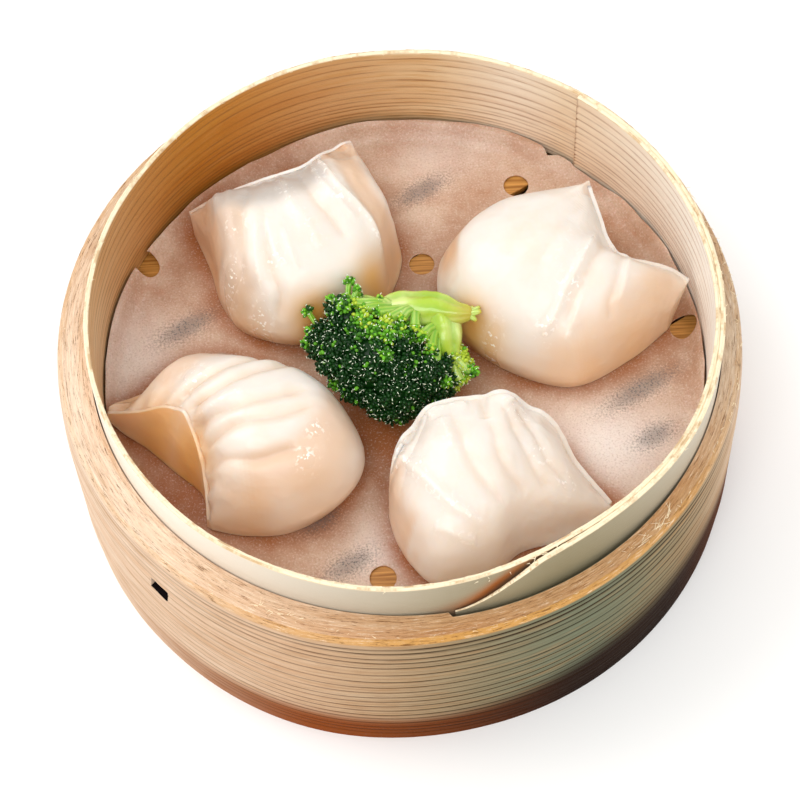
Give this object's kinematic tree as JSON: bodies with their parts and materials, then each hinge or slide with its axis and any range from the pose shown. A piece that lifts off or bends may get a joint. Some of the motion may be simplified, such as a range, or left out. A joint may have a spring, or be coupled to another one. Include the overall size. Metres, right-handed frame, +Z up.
{
  "type": "steamer basket of shrimp dumplings",
  "caption": "Round bamboo steamer basket without its lid, holding pleated translucent shrimp dumplings and a broccoli floret on a punched paper liner.",
  "frame": {"origin": "on the table, at the middle of the basket's foot", "axes": "+Z up, -Y toward the viewer of the picture, +X to the viewer's right"},
  "size_m": [0.1606, 0.1609, 0.064],
  "materials": {
    "hoop_bamboo": "straight-grained bent bamboo with thin dark grain lines, dry and uncoated, worn on its upper edge",
    "rim_bamboo": "thin pale bamboo strip, satin, golden inside, with a fibrous cut edge",
    "lower_bamboo": "dry straight-grained bamboo",
    "slat_bamboo": "split bamboo slats, golden brown with darker grain, damp",
    "liner_paper": "damp translucent parchment, mottled, pinkish tan over the slats",
    "wrapper": "steamed translucent wheat-starch wrapper, wet gloss, pearl white with peach and amber where it is thick or near the filling",
    "broccoli_green": "blanched broccoli, dark green buds with wet glints, yellow-green stalk"
  },
  "bodies": {
    "root": {"outer_hoop": "hoop_bamboo", "inner_hoop": "rim_bamboo", "lower_hoop": "lower_bamboo", "slat_01": "slat_bamboo", "slat_02": "slat_bamboo", "slat_03": "slat_bamboo", "slat_04": "slat_bamboo", "slat_05": "slat_bamboo", "slat_06": "slat_bamboo", "slat_07": "slat_bamboo", "slat_08": "slat_bamboo", "slat_09": "slat_bamboo", "slat_10": "slat_bamboo", "slat_11": "slat_bamboo", "slat_12": "slat_bamboo", "batten_1": "slat_bamboo", "batten_2": "slat_bamboo", "paper_liner": "liner_paper", "dumpling_1": "wrapper", "dumpling_2": "wrapper", "dumpling_3": "wrapper", "dumpling_4": "wrapper", "broccoli": "broccoli_green"}
  },
  "joints": []
}
